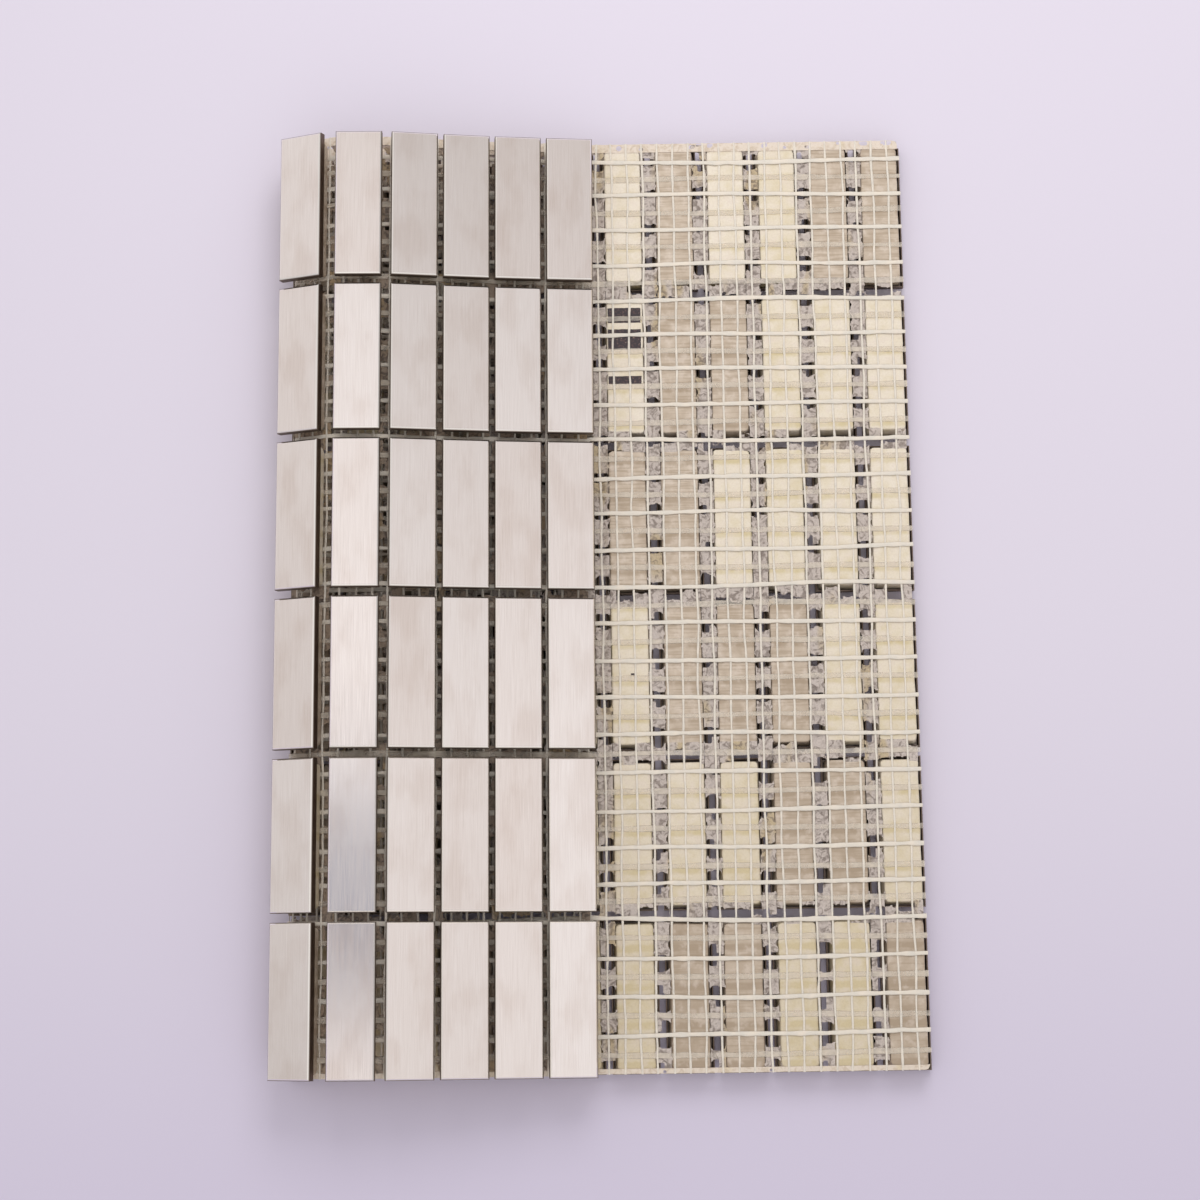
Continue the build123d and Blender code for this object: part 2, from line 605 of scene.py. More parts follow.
@dataclass(frozen=True)
class BrushedSteel:
    """Stainless sheet, brushed along the chips, with painted shade (partly glue stain) on the flanks and inside and a
    painted highlight on the bevels.
    """

    sizes: SheetSizes
    tone: Colour = srgb(238, 230, 227)
    dull: Colour = srgb(214, 199, 191)
    # bend: painted highlight, brighter than the face, for the bevels.
    bend: Colour = srgb(251, 246, 240)
    # flank: brownish painted shade, partly glue stain, for the tray walls and insides.
    flank: Colour = srgb(120, 105, 95)
    roughness: float = 0.12
    flank_roughness: float = 0.3
    cloud_share: float = 0.32
    line_share: float = 0.26
    chip_share: float = 0.35
    line_size: float = 0.2
    cloud_size: float = 9.0

    def on_bevel(self, graph: Graph, place: bpy.types.NodeSocket, size: float) -> bpy.types.NodeSocket:
        """Find the bevels at the two ends of one axis.

        Args:
            graph: The node tree.
            place: Distance from the chip's middle along the axis, in mm.
            size: The chip's size along the axis, in mm.

        Returns:
            1 on the bevels and 0 on the flat face.
        """
        bevel = size / 2 - self.sizes.cap_bevel
        return graph.span(graph.math("ABSOLUTE", place), bevel - 0.08, bevel + 0.04)

    def material(self, name: str, plane: Matrix, seed: float) -> bpy.types.Material:
        """The finish for one column of trays.

        Args:
            name: The material's name.
            plane: The column's frame, with its Z towards the steel faces.
            seed: A number that sets the column's patches apart.

        Returns:
            The material.
        """
        sizes = self.sizes
        graph = SurfaceGraph(name)
        chip = graph.local(plane)
        across, along, depth = (graph.axis(chip, axis) for axis in "XYZ")
        moved = graph.add("ShaderNodeVectorMath", operation="ADD")
        graph.feed(moved.inputs[0], chip)
        graph.feed(moved.inputs[1], (seed, seed * 3, 0.0))
        patches = moved.outputs[0]
        lines = graph.noise(graph.stretch(patches, (1.0, 0.016, 0.2)), self.line_size, 4.0)
        cloud = graph.noise(graph.stretch(patches, (1.0, 0.45, 1.0)), self.cloud_size, 4.0)
        row = graph.math("DIVIDE", along, sizes.row_pitch)
        in_row = graph.math("MULTIPLY", graph.math("SUBTRACT", graph.math("FRACT", row), 0.5), sizes.row_pitch)
        pick = graph.add("ShaderNodeTexWhiteNoise", noise_dimensions="1D")
        graph.feed(pick.inputs["W"], graph.math("ADD", graph.math("FLOOR", row), seed))
        share = graph.total(
            graph.smooth_span(cloud, 0.42, 0.7, (0.0, self.cloud_share)),
            graph.span(lines, 0.32, 0.68, (0.0, self.line_share)),
            graph.math("MULTIPLY", pick.outputs["Value"], self.chip_share),
        )
        side_bevel = self.on_bevel(graph, across, sizes.chip_width)
        end_bevel = self.on_bevel(graph, in_row, sizes.chip_length)
        bevel = graph.math("MAXIMUM", side_bevel, end_bevel)
        # Painted highlight: the bevels take the brighter bend colour.
        face = graph.mix(bevel, graph.mix(share, self.tone, self.dull), self.bend)
        bevel_foot = sizes.chip_thickness - sizes.cap_bevel
        on_face = graph.span(depth, bevel_foot + 0.12, bevel_foot + 0.3)
        # Below the bevels the walls take the flank colour: painted shade, partly glue stain.
        graph.paint(
            Base_Color=graph.mix(on_face, self.flank, face),
            Metallic=1.0,
            Roughness=graph.total(
                graph.span(lines, 0.2, 0.8, (self.roughness - 0.03, self.roughness + 0.08)),
                graph.math("MULTIPLY", graph.math("SUBTRACT", 1.0, on_face), self.flank_roughness),
            ),
        )
        graph.bump(lines, 0.005, 0.7)
        return graph.material


@dataclass(frozen=True)
class FiredClay:
    """Pressed ceramic, cream or tan, with milky glue on it, and darker towards the sheet's lower end, partly painted
    shade and partly soiling.
    """

    cream: Colour = srgb(231, 220, 204)
    cream_deep: Colour = srgb(208, 192, 154)
    tan: Colour = srgb(206, 190, 172)
    tan_deep: Colour = srgb(166, 147, 126)
    milk: Colour = srgb(224, 210, 197)
    weft_pitch: float = 12.0
    weft_start: float = 3.2
    inner_weft_place: float = 0.39
    # Heights over which the blocks darken towards the lower end: painted shade, partly soiling.
    shade_and_soil_span: tuple[float, float] = (30.0, -150.0)

    def material(self, name: str) -> bpy.types.Material:
        """The finish for all blocks.

        Args:
            name: The material's name.

        Returns:
            The material.
        """
        graph = SurfaceGraph(name)
        clay = graph.attribute("clay")
        seed = graph.attribute("chip")
        patch = graph.noise(graph.places(), 7.0, 3.0)
        cloud = graph.noise(graph.places(), 3.2, 3.0)
        grain = graph.noise(graph.places(), 0.6, 3.0)
        lines = graph.noise(graph.places((0.05, 1.0, 1.0)), 0.7, 3.0)
        height = graph.math("SUBTRACT", graph.axis(graph.places(), "Y"), self.weft_start)
        beat = graph.math("FRACT", graph.math("DIVIDE", height, self.weft_pitch))
        from_inner = graph.math("ABSOLUTE", graph.math("SUBTRACT", beat, self.inner_weft_place))
        band = graph.smooth_span(graph.total(from_inner, graph.span(patch, 0.2, 0.8, (-0.04, 0.04))), 0.13, 0.03)
        deep = graph.total(
            graph.math("MULTIPLY", band, 0.55),
            graph.span(patch, 0.45, 0.75, (0.0, 0.4)),
            graph.span(cloud, 0.5, 0.75, (0.0, 0.35)),
            graph.math("MULTIPLY", seed, 0.2),
            # Darker towards the lower end: painted shade, partly soiling.
            graph.smooth_span(height, *self.shade_and_soil_span, (0.0, 0.35)),
        )
        cream = graph.mix(deep, self.cream, self.cream_deep)
        tan = graph.mix(deep, self.tan, self.tan_deep)
        tan = graph.mix(graph.smooth_span(lines, 0.48, 0.6, (0.0, 0.6)), tan, self.tan_deep)
        colour = graph.mix(clay, cream, tan)
        colour = graph.mix(graph.smooth_span(cloud, 0.5, 0.3, (0.0, 0.45)), colour, self.milk)
        # Grain dirt, plus the darkening towards the lower end, which is painted shade, partly soiling.
        soil = graph.total(
            graph.span(grain, 0.4, 0.8, (0.0, 0.2)),
            graph.smooth_span(height, *self.shade_and_soil_span, (0.0, 0.16)),
        )
        colour = graph.mix(soil, colour, self.tan_deep)
        relief = graph.total(graph.math("MULTIPLY", grain, 0.4), graph.math("MULTIPLY", lines, clay))
        graph.paint(Base_Color=colour, Roughness=graph.span(patch, 0.3, 0.7, (0.42, 0.62)))
        graph.bump(relief, 0.08, 0.7)
        return graph.material


@dataclass(frozen=True)
class GlassStrand:
    """White glass-fibre yarn in a dull coat of glue."""

    pale: Colour
    soil: float
    cover: tuple[float, float]
    soiled: Colour = srgb(226, 210, 190)
    fuzz: float = 0.05

    def material(self, name: str) -> bpy.types.Material:
        """The finish for one layer of strands.

        Args:
            name: The material's name.

        Returns:
            The material.
        """
        graph = SurfaceGraph(name)
        patch = graph.noise(graph.places(), 4.0, 3.0)
        fibre = graph.noise(graph.places(), 0.25, 2.0)
        share = graph.math("MULTIPLY", graph.span(patch, 0.35, 0.75), self.soil)
        graph.paint(Base_Color=graph.mix(share, self.pale, self.soiled), Roughness=0.55, Specular_IOR_Level=0.4)
        graph.paint(Alpha=graph.span(patch, 0.3, 0.7, self.cover))
        graph.bump(fibre, self.fuzz, 0.6)
        return graph.material


@dataclass(frozen=True)
class DriedGlue:
    """Half-clear glue film, mottled, and golden where it is thick."""

    grey: Colour
    dark: Colour
    golden: Colour = srgb(204, 182, 140)
    cover: tuple[float, float] = (0.72, 0.97)

    def material(self, name: str) -> bpy.types.Material:
        """The finish for some of the film.

        Args:
            name: The material's name.

        Returns:
            The material.
        """
        graph = SurfaceGraph(name)
        smear = graph.noise(graph.places(), 2.6, 3.0)
        smear.node.inputs["Distortion"].default_value = 1.8
        mottle = graph.noise(graph.places(), 0.6, 3.0)
        patch = graph.noise(graph.places((1.0, 0.3, 1.0)), 9.0, 2.0)
        colour = graph.mix(graph.smooth_span(patch, 0.58, 0.68, (0.0, 0.8)), self.grey, self.golden)
        stain = graph.total(
            graph.smooth_span(smear, 0.42, 0.64, (0.0, 0.7)),
            graph.span(mottle, 0.4, 0.7, (0.0, 0.2)),
        )
        colour = graph.mix(stain, colour, self.dark)
        graph.paint(Base_Color=colour, Roughness=0.4, Alpha=graph.span(smear, 0.3, 0.55, self.cover))
        graph.bump(smear, 0.25, 0.8)
        return graph.material


@dataclass(frozen=True)
class Ink:
    """Flat dark ink on a block's back."""

    colour: Colour = srgb(56, 48, 52)
    worn: Colour = srgb(104, 78, 76)

    def material(self, name: str) -> bpy.types.Material:
        """The finish for the marks.

        Args:
            name: The material's name.

        Returns:
            The material.
        """
        graph = SurfaceGraph(name)
        speckle = graph.noise(graph.places(), 0.7, 4.0)
        graph.paint(
            Base_Color=graph.mix(graph.span(speckle, 0.5, 0.72), self.colour, self.worn),
            Alpha=graph.span(speckle, 0.62, 0.7, (1.0, 0.55)),
            Roughness=0.5,
        )
        return graph.material


class Workshop:
    """Turns bmeshes into pieces that ride on the sheet."""

    @staticmethod
    def piece(name: str, bm: bmesh.types.BMesh, material: bpy.types.Material, slot: str) -> bpy.types.Object:
        """Make a finished piece from a bmesh whose vertices are in metres.

        Args:
            name: The piece's name.
            bm: Its mesh, which is freed.
            material: Its finish.
            slot: The record's material slot. Not used.

        Returns:
            The piece, riding on the sheet.
        """
        mesh = bpy.data.meshes.new(name)
        bm.to_mesh(mesh)
        bm.free()
        mesh.materials.append(material)
        piece = bpy.data.objects.new(name, mesh)
        bpy.context.scene.collection.objects.link(piece)
        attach(piece, BODY)
        log.info("%s: %d faces", name, len(mesh.polygons))
        return piece

    @staticmethod
    def smooth(piece: bpy.types.Object) -> None:
        """Shade a piece smooth."""
        for face in piece.data.polygons:
            face.use_smooth = True


@dataclass
class SteelTrays:
    """The 108 trays, which keep their construction meshes, dressed column by column."""

    sizes: SheetSizes
    fold: SheetFold
    seed_step: float = 17.0

    def dress(self) -> None:
        """Give each column of trays its finish."""
        steel = BrushedSteel(self.sizes)
        for column in range(self.sizes.columns):
            number = f"{column + 1:02d}"
            seed = column * self.seed_step
            material = steel.material(f"brushed_steel_{number}", self.fold.plane(column), seed)
            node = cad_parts[f"steel_caps_{number}"]
            node.data.materials.clear()
            node.data.materials.append(material)
        log.info("steel trays: %d columns dressed", self.sizes.columns)


@dataclass
class CeramicBlocks:
    """The blocks behind the trays, with uneven pressed edges."""

    sizes: SheetSizes
    fold: SheetFold
    corner_radius: float = 1.3
    rim_radius: float = 0.5
    cuts: int = 14
    unevenness: float = 0.42
    tan_blocks: tuple[str, ...] = (".T..TT", ".TT...", "TT....", ".TTT..", "...TT.", ".TT..T")

    def template(self) -> bpy.types.Mesh:
        """Shape one even block in mm, its back at z = 0 and its front towards +Z.

        Returns:
            The mesh, which the caller removes.
        """
        bm = bmesh.new()
        width, length = self.sizes.core_front
        back_width, back_length = self.sizes.core_back
        bmesh.ops.create_cube(bm, size=1.0)
        bmesh.ops.translate(bm, verts=bm.verts, vec=(0.0, 0.0, 0.5))
        bmesh.ops.scale(bm, verts=bm.verts, vec=(width, length, self.sizes.core_height))
        back = [vert for vert in bm.verts if vert.co.z < 0.1]
        bmesh.ops.scale(bm, verts=back, vec=(back_width / width, back_length / length, 1.0))
        uprights = [edge for edge in bm.edges if abs(edge.verts[0].co.z - edge.verts[1].co.z) > 1.0]
        bmesh.ops.bevel(
            bm, geom=uprights, offset=self.corner_radius, segments=3, profile=0.5, affect="EDGES", material=-1
        )
        rim = [edge for edge in bm.edges if all(vert.co.z < 0.1 for vert in edge.verts)]
        bmesh.ops.bevel(bm, geom=rim, offset=self.rim_radius, segments=2, profile=0.5, affect="EDGES", material=-1)
        for number in range(1, self.cuts):
            y = (number / self.cuts - 0.5) * back_length
            bmesh.ops.bisect_plane(
                bm, geom=[*bm.verts, *bm.edges, *bm.faces], plane_co=(0.0, y, 0.0), plane_no=(0.0, 1.0, 0.0)
            )
        bmesh.ops.triangulate(bm, faces=[face for face in bm.faces if len(face.verts) > 4])
        mesh = bpy.data.meshes.new("block_template")
        bm.to_mesh(mesh)
        bm.free()
        return mesh

    def clay(self, column: int, row: int) -> Clay:
        """Choose the clay of a block.

        Args:
            column: The block's column, from 0.
            row: The block's row, from 0 at the top.

        Returns:
            The clay, which follows the sheet on the shown backs and alternates loosely on the hidden ones.
        """
        shown = column - self.sizes.first_shown
        if shown >= 0:
            return Clay.TAN if self.tan_blocks[row][shown] == "T" else Clay.CREAM
        return Clay.TAN if chance(column, row, 1) > 0.45 else Clay.CREAM

    def roughen(self, vert: bmesh.types.BMVert, seed: float) -> None:
        """Wear a vertex of a block's flank or rim inwards by up to the unevenness.

        Args:
            vert: The vertex, in the block's own mm.
            seed: A number that sets the block apart.
        """
        x, y, z = vert.co
        depth = 0.5 + 0.5 * wander(y / 4.0, seed * 31.0, x)
        fine = 0.5 + 0.5 * wander(y / 1.5, seed * 17.0, x + 5.0)
        wear = self.unevenness * (0.65 * depth + 0.35 * fine) * (1 - 0.6 * z / self.sizes.core_height)
        vert.co.x -= math.copysign(min(wear, abs(x)), x)
        vert.co.y -= math.copysign(min(wear, abs(y)), y) if abs(y) > self.sizes.core_back[1] / 2 - 2 else 0.0

    def build(self) -> None:
        """Make the blocks, one piece for each column, in place of the plain ones."""
        template = self.template()
        material = FiredClay().material("fired_clay")
        for column in range(self.sizes.columns):
            bm = bmesh.new()
            clay_layer = bm.verts.layers.float.new("clay")
            chip_layer = bm.verts.layers.float.new("chip")
            plane = self.fold.plane(column)
            for row in range(self.sizes.rows):
                first = len(bm.verts)
                bm.from_mesh(template)
                bm.verts.ensure_lookup_table()
                verts = bm.verts[first:]
                seed = chance(column, row, 3)
                for vert in verts:
                    self.roughen(vert, seed + column)
                    vert[clay_layer] = self.clay(column, row).value
                    vert[chip_layer] = seed
                bmesh.ops.translate(bm, verts=verts, vec=(0.0, self.sizes.row_centre(row), 0.0))
            bmesh.ops.transform(bm, verts=bm.verts, matrix=plane)
            piece = Workshop.piece(f"blocks_{column + 1:02d}", bm, material, "ceramic")
            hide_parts(f"ceramic_cores_{column + 1:02d}")
        bpy.data.meshes.remove(template)


@dataclass(frozen=True)
class Layer:
    """One layer of strands: its yarn's width and thickness and the rise of its middle, in mm."""

    width: float
    thickness: float
    rise: float
    sway: float
    sway_length: float
    grain: float = 3.1


@dataclass
class BackingMesh:
    """The glass-fibre mesh: warps along the chips, and inner and outer wefts across them."""

    sizes: SheetSizes
    fold: SheetFold
    warp: Layer = Layer(width=0.72, thickness=0.18, rise=0.15, sway=0.4, sway_length=18.0)
    outer_weft: Layer = Layer(width=1.4, thickness=0.24, rise=0.32, sway=0.75, sway_length=55.0, grain=4.2)
    inner_weft: Layer = Layer(width=1.8, thickness=0.08, rise=0.055, sway=0.5, sway_length=45.0, grain=11.0)
    warp_pitch: float = 5.08
    warp_margin: float = 4.1
    weft_pitch: float = 12.0
    weft_count: int = 25
    weft_shift: float = 3.2
    bottom_trim: float = 1.2
    step: float = 1.7
    upper_pull: float = 0.9
    lower_pull: float = 1.7
    weft_tremble: float = 0.14
    warp_tremble: float = 0.1

    def weft_height(self, number: float) -> float:
        """Height of a weft counted up from the sheet's middle, pulled inwards a little near the two ends.

        Args:
            number: Number of the outer weft, or a half for the inner ones.

        Returns:
            Its place along the chips, in mm.
        """
        even = number * self.weft_pitch + self.weft_shift
        upper = clamp((even - 70) / 25) + clamp((even - 138) / 6)
        lower = clamp((-even - 86) / 12)
        return even - self.upper_pull * upper + self.lower_pull * lower

    def weft_rows(self, inner: bool = False) -> list[float]:
        """Heights of the wefts along the chips, from the top down.

        Args:
            inner: Whether they are the inner wefts, half a pitch lower.

        Returns:
            The heights, in mm.
        """
        drop = 0.5 if inner else 0.0
        middle = self.weft_count // 2
        return [self.weft_height(middle - number - drop) for number in range(self.weft_count)]

    def warp_runs(self) -> list[float]:
        """Runs of the warps, from the far edge back to the flap's free edge."""
        count = int((self.fold.length - self.warp_margin) / self.warp_pitch) + 1
        return [self.fold.length - self.warp_margin - number * self.warp_pitch for number in range(count)]

    def strands(self, name: str, layer: Layer, paths: list[list[tuple[float, float]]]) -> bpy.types.Mesh:
        """Strands along flat paths, as a mesh of run, height and rise in mm.

        Args:
            name: Name for the mesh.
            layer: The layer that the strands make.
            paths: For each strand, its points as run and height.

        Returns:
            The flat mesh.
        """
        curve = bpy.data.curves.new(name, "CURVE")
        curve.dimensions = "3D"
        curve.bevel_depth = layer.width / 2
        curve.bevel_resolution = 2
        curve.use_fill_caps = True
        for number, path in enumerate(paths):
            spline = curve.splines.new("POLY")
            spline.points.add(len(path) - 1)
            for point, (run, height) in zip(spline.points, path):
                point.co = (run, height, 0.0, 1.0)
                point.radius = 1.0 + 0.3 * wander(run / layer.grain, height / layer.grain, number)
        holder = bpy.data.objects.new(name, curve)
        bpy.context.scene.collection.objects.link(holder)
        bpy.context.view_layer.update()
        mesh = bpy.data.meshes.new_from_object(holder.evaluated_get(bpy.context.evaluated_depsgraph_get()))
        bpy.data.objects.remove(holder)
        bpy.data.curves.remove(curve)
        return mesh

    def lay(
        self, name: str, layer: Layer, paths: list[list[tuple[float, float]]], finish: GlassStrand, node: str
    ) -> None:
        """Fold a layer of strands round the sheet, in place of its plain node.

        Args:
            name: The piece's name.
            layer: The layer that the strands make.
            paths: For each strand, its points as run and height.
            finish: The strands' finish.
            node: The plain node that the layer stands for.
        """
        bm = bmesh.new()
        flat = self.strands(name, layer, paths)
        bm.from_mesh(flat)
        bpy.data.meshes.remove(flat)
        squeeze = layer.thickness / layer.width
        for vert in bm.verts:
            run, height, rise = vert.co
            vert.co = self.fold.place(run, height, layer.rise + rise * squeeze)
        bmesh.ops.recalc_face_normals(bm, faces=bm.faces)
        piece = Workshop.piece(name, bm, finish.material(f"{name}_yarn"), "mesh")
        if layer.thickness > 0.15 * layer.width:
            Workshop.smooth(piece)
        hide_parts(node)

    def weft_path(self, height: float, layer: Layer, number: int) -> list[tuple[float, float]]:
        """Points of a weft that sways about its height.

        Args:
            height: Its middle height, in mm.
            layer: The layer that it is in.
            number: A number that sets it apart.

        Returns:
            The points, as run and height.
        """
        count = int(self.fold.length / self.step)
        points = []
        for run in (self.fold.length * index / count for index in range(count + 1)):
            sway = layer.sway * wander(run / layer.sway_length, number * 1.7)
            points.append((run, height + sway + self.weft_tremble * wander(run / 4.0, number, 5.0)))
        return points

    def warp_path(self, run: float, layer: Layer, number: int) -> list[tuple[float, float]]:
        """Points of a warp that sways about its run.

        Args:
            run: Its middle run, in mm.
            layer: The layer that it is in.
            number: A number that sets it apart.

        Returns:
            The points, as run and height.
        """
        top = self.sizes.mesh_length / 2 - 0.05
        length = 2 * top - self.bottom_trim
        count = int(length / self.step)
        points = []
        for height in (top - length * index / count for index in range(count + 1)):
            sway = layer.sway * wander(height / layer.sway_length, number * 2.3, 9.0)
            points.append((run + sway + self.warp_tremble * wander(height / 4.0, number, 2.0), height))
        return points

    def build(self) -> None:
        """Make the three layers."""
        warps = [self.warp_path(run, self.warp, number) for number, run in enumerate(self.warp_runs())]
        outer = [self.weft_path(y, self.outer_weft, number) for number, y in enumerate(self.weft_rows())]
        inner = [self.weft_path(y, self.inner_weft, 40 + number) for number, y in enumerate(self.weft_rows(True))]
        thin = GlassStrand(pale=srgb(240, 233, 222), soil=0.45, cover=(0.6, 0.95))
        thick = GlassStrand(pale=srgb(234, 227, 216), soil=0.6, cover=(0.75, 1.0))
        glued = GlassStrand(
            pale=srgb(240, 230, 216), soiled=srgb(230, 217, 198), soil=0.6, cover=(0.15, 0.5), fuzz=0.01
        )
        self.lay("backing_warps", self.warp, warps, thin, "mesh_warps")
        self.lay("backing_wefts_outer", self.outer_weft, outer, thick, "mesh_wefts_outer")
        self.lay("backing_wefts_inner", self.inner_weft, inner, glued, "mesh_wefts_inner")


@dataclass
class GlueFilm:
    """Webs of dried glue between the blocks, round the inner wefts, with holes beside the outer ones."""

    sizes: SheetSizes
    fold: SheetFold
    backing: BackingMesh
    cell: float = 0.42
    overlap: float = 0.9
    rise: float = 0.06
    flap_rise: float = 0.4
    sag: float = 0.45
    row_sag: float = 0.3
    strip_rise: float = 0.1
    flap_hole: tuple[float, float] = (2.2, 3.1)
    lower_hole: tuple[float, float] = (1.0, 2.4)
    flap_closed: float = 0.12
    lower_closed: float = 0.34
    half_closed: float = 0.3
    corner: float = 2.0

    def web(self, column: int, share: float, height: float) -> bool:
        """Whether glue spans the gap beside a column at a height.

        Args:
            column: The column to the gap's left.
            share: Place across the gap, 0 to 1.
            height: Place along the chips, in mm.

        Returns:
            True where there is film.
        """
        on_flap = column < self.sizes.flap_columns
        top = self.sizes.mesh_length / 2
        if on_flap and height > top - 3 - 9 * chance(column, 7, 7) * (1 - share):
            return True
        number = round((height - self.backing.weft_shift) / self.backing.weft_pitch)
        distance = height - self.backing.weft_height(number)
        side = 1 if distance > 0 else 2
        half = 3 if share < 0.5 else 4
        least, more = self.flap_hole if on_flap else self.lower_hole
        near_foot = 0.0 if on_flap else clamp(-height / 150.0 - 0.1)
        reach = least + more * chance(column, number, side) + 2.0 * near_foot
        closed = self.flap_closed if on_flap else self.lower_closed - 0.24 * near_foot
        if chance(column, number, side + 20) < closed:
            reach = 0.0
        if chance(column, number, side * half + 40) < self.half_closed:
            reach = min(reach, 0.6)
        shape = math.sqrt(max(0.0, 1 - 0.7 * (2 * share - 1) ** 4))
        return abs(distance) > reach * shape + 0.6 * wander(height / 1.3, column * 3.1, share * 2.2)

    def row_web(self, run: float, height: float, row: int) -> bool:
        """Whether glue spans the joint below a row at a place.

        Args:
            run: Distance along the line, in mm.
            height: Place along the chips, in mm.
            row: The row above the joint, from 0.

        Returns:
            True where there is film.
        """
        cell = math.floor((self.fold.length - self.backing.warp_margin - run) / self.backing.warp_pitch)
        lean = (height - (self.sizes.row_centre(row) - self.sizes.row_pitch / 2)) / 2.2
        cover = 2.6 * chance(cell, row, 5) - (0.9 if row < self.sizes.rows - 2 else 1.7)
        side = 1 if chance(cell, row, 6) > 0.5 else -1
        return side * lean + 0.4 * wander(run / 1.1, height / 1.1, row) < cover

    def sheet(
        self, bm: bmesh.types.BMesh, run: float, height: float, width: float, length: float
    ) -> list[bmesh.types.BMVert]:
        """Add a flat grid.

        Args:
            bm: The mesh to add to.
            run: Its middle along the line, in mm.
            height: Its middle along the chips, in mm.
            width: Its size along the line, in mm.
            length: Its size along the chips, in mm.

        Returns:
            Its vertices.
        """
        across, along = max(2, round(width / self.cell)), max(2, round(length / self.cell))
        grid = bmesh.ops.create_grid(bm, x_segments=across, y_segments=along, size=0.5)
        bmesh.ops.scale(bm, verts=grid["verts"], vec=(width, length, 1.0))
        bmesh.ops.translate(bm, verts=grid["verts"], vec=(run, height, 0.0))
        return grid["verts"]

    def column_gaps(self, bm: bmesh.types.BMesh, columns: range) -> None:
        """Add the webs in the gaps between columns.

        Args:
            bm: The mesh to add to.
            columns: The columns to the gaps' left.
        """
        width = 2 * (self.sizes.half_joint + self.overlap)
        top = self.sizes.mesh_length / 2 - 0.4
        bottom = self.backing.bottom_trim - top
        for column in columns:
            middle = self.fold.column_run(column) + self.sizes.column_pitch / 2
            verts = self.sheet(bm, middle, (top + bottom) / 2, width, top - bottom)
            gone = []
            for vert in verts:
                away = vert.co.x - middle
                share = clamp(away / (2 * self.sizes.half_joint) + 0.5)
                lap = 0.4 + 0.5 * wander(vert.co.y / 2.2, column * 2.0, math.copysign(3.0, away))
                past = abs(away) - self.sizes.half_joint
                if past > lap or not self.web(column, share, vert.co.y):
                    gone.append(vert)
                vert.co.z = -self.sag * math.sin(math.pi * share) ** 2
            bmesh.ops.delete(bm, geom=gone, context="VERTS")

    def row_gaps(self, bm: bmesh.types.BMesh, columns: range) -> None:
        """Add the webs in the joints between the rows.

        Args:
            bm: The mesh to add to.
            columns: The columns that the joints cross.
        """
        back_width, back_length = self.sizes.core_back
        gap = self.sizes.row_pitch - back_length
        for row in range(self.sizes.rows - 1):
            height = self.sizes.row_centre(row) - self.sizes.row_pitch / 2
            for column in columns:
                verts = self.sheet(bm, self.fold.column_run(column), height, back_width, gap + 2 * self.overlap)
                gone = [vert for vert in verts if not self.row_web(vert.co.x, vert.co.y, row)]
                for vert in verts:
                    vert.co.z = -self.row_sag * math.cos((vert.co.y - height) / gap * math.pi) ** 2
                bmesh.ops.delete(bm, geom=gone, context="VERTS")

    def end_strip(self, bm: bmesh.types.BMesh, columns: range, end: End, depth: float, start: float) -> None:
        """Add the strip of film along one end of some columns.

        Args:
            bm: The mesh to add to.
            columns: The columns that the strip crosses.
            end: The end of the sheet.
            depth: How far the film reaches past the blocks, in mm.
            start: How far back over the blocks it starts, in mm.
        """
        left = self.fold.column_run(columns[0]) - self.sizes.core_back[0] / 2
        right = self.fold.column_run(columns[-1]) + self.sizes.core_back[0] / 2 + 0.3
        core_end = self.sizes.row_centre(0) + self.sizes.core_back[1] / 2
        side = end.value
        middle = side * (core_end + (depth - start) / 2)
        verts = self.sheet(bm, (left + right) / 2, middle, right - left, depth + start)
        gone = []
        for vert in verts:
            run, past = vert.co.x, side * vert.co.y - core_end
            edge = depth - 0.12 + 0.1 * wander(run / 4.0, side * 3.0)
            past_corner = max(0.0, run - right + self.corner)
            round_edge = math.sqrt(max(0.0, self.corner**2 - past_corner * past_corner))
            edge = min(edge, depth - self.corner + round_edge)
            if columns[0] > 0 and wander(run / 2.4, vert.co.y / 1.6, 4.0) > 0.62 and 0.3 < past < depth - 0.7:
                gone.append(vert)
            vert.co.y = side * (core_end + min(past, edge))
            vert.co.z = self.strip_rise
        bmesh.ops.delete(bm, geom=gone, context="VERTS")

    def finish(
        self, name: str, bm: bmesh.types.BMesh, material: bpy.types.Material, sags: bool = True
    ) -> None:
        """Smooth the webs' outlines and fold them round the sheet.

        Args:
            name: The piece's name.
            bm: The flat webs, which are freed.
            material: Their finish.
            sags: False for the flap, whose webs hang from the strands' far side.
        """
        loose = [vert for vert in bm.verts if not vert.link_faces]
        bmesh.ops.delete(bm, geom=loose, context="VERTS")
        for _ in range(2):
            rim = [vert for vert in bm.verts if vert.is_boundary]
            bmesh.ops.smooth_vert(bm, verts=rim, factor=0.5, use_axis_x=True, use_axis_y=True, use_axis_z=False)
        for vert in bm.verts:
            run, height, rise = vert.co
            ripple = 0.05 * wander(run / 1.2, height / 1.2, 8.0)
            level = self.rise + rise if sags else self.flap_rise
            vert.co = self.fold.place(run, height, level + ripple)
        piece = Workshop.piece(name, bm, material, "mesh")
        Workshop.smooth(piece)

